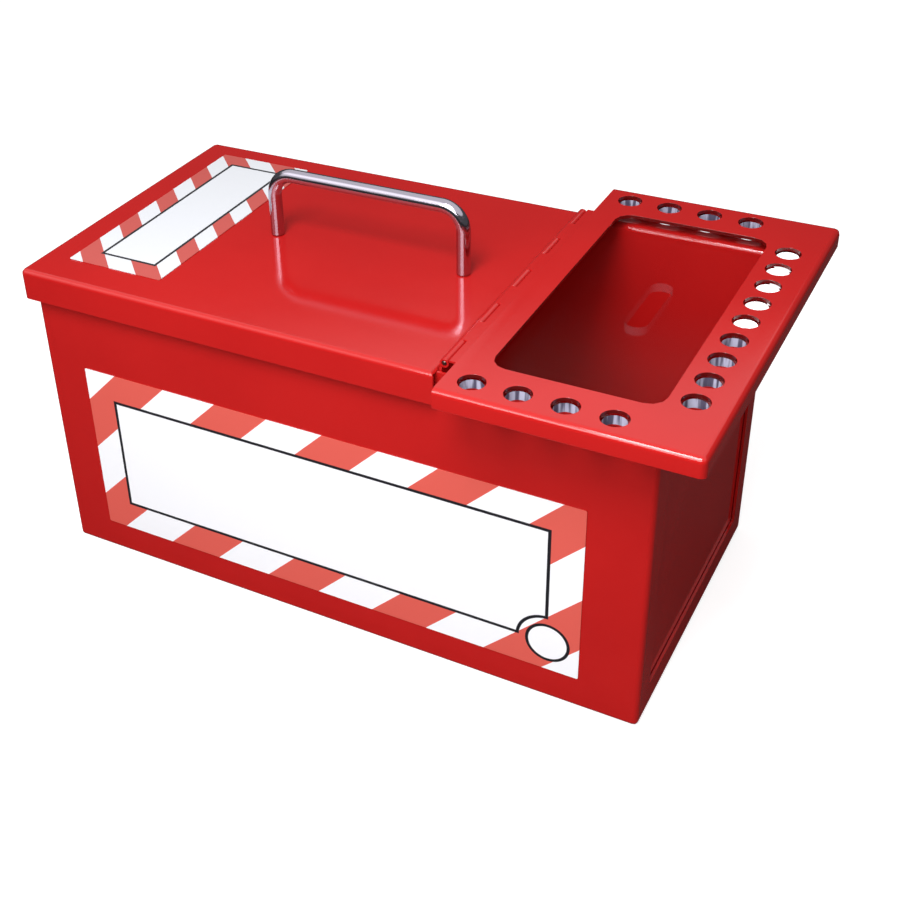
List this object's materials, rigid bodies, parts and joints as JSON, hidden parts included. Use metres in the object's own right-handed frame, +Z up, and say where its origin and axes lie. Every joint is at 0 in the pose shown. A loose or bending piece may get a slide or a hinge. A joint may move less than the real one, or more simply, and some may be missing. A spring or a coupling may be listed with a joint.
{
  "type": "group lockout box",
  "caption": "Portable sheet steel lockout box: a fixed cover with a bar handle, and a hinged frame with a clear key-slot window ringed by padlock holes.",
  "frame": {"origin": "middle of the outline seen from above, at the underside of the body", "axes": "+X along the box from the fixed cover to the padlock frame, -Y to the front, +Z up"},
  "size_m": [0.406, 0.247, 0.2365],
  "materials": {
    "red_powder_coat": "glossy red powder coat",
    "polished_steel": "polished",
    "zinc_plate": "bright zinc",
    "clear_plastic": "clear",
    "label_film": "printed film"
  },
  "bodies": {
    "body": {"body_wrapper": "red_powder_coat", "left_end_plate": "red_powder_coat", "right_end_plate": "red_powder_coat", "fixed_cover": "red_powder_coat", "cover_stiffener": "red_powder_coat", "hinge_fixed_leaf": "red_powder_coat", "hinge_pin": "zinc_plate", "carry_handle": "polished_steel", "front_label": "label_film", "cover_label": "label_film", "hinge_rivet_1": "zinc_plate", "hinge_rivet_2": "zinc_plate", "hinge_rivet_3": "zinc_plate", "hinge_rivet_4": "zinc_plate", "hinge_rivet_5": "zinc_plate", "handle_screw_1": "zinc_plate", "handle_washer_1": "zinc_plate", "handle_screw_2": "zinc_plate", "handle_washer_2": "zinc_plate"},
    "frame": {"padlock_frame": "red_powder_coat", "window_pane": "clear_plastic", "hinge_moving_leaf": "red_powder_coat", "pane_stud_1": "zinc_plate", "pane_stud_2": "zinc_plate", "pane_stud_3": "zinc_plate", "pane_stud_4": "zinc_plate", "pane_stud_5": "zinc_plate", "pane_stud_6": "zinc_plate", "pane_nut_1": "zinc_plate", "pane_nut_2": "zinc_plate", "pane_nut_3": "zinc_plate", "pane_nut_4": "zinc_plate", "pane_nut_5": "zinc_plate", "pane_nut_6": "zinc_plate"}
  },
  "joints": [
    {"name": "frame_hinge", "type": "hinge", "parent": "body", "child": "frame", "pos_m": [0.0623, 0, 0.1963], "axis": [0, -1, 0], "range_deg": [0, 120]}
  ]
}
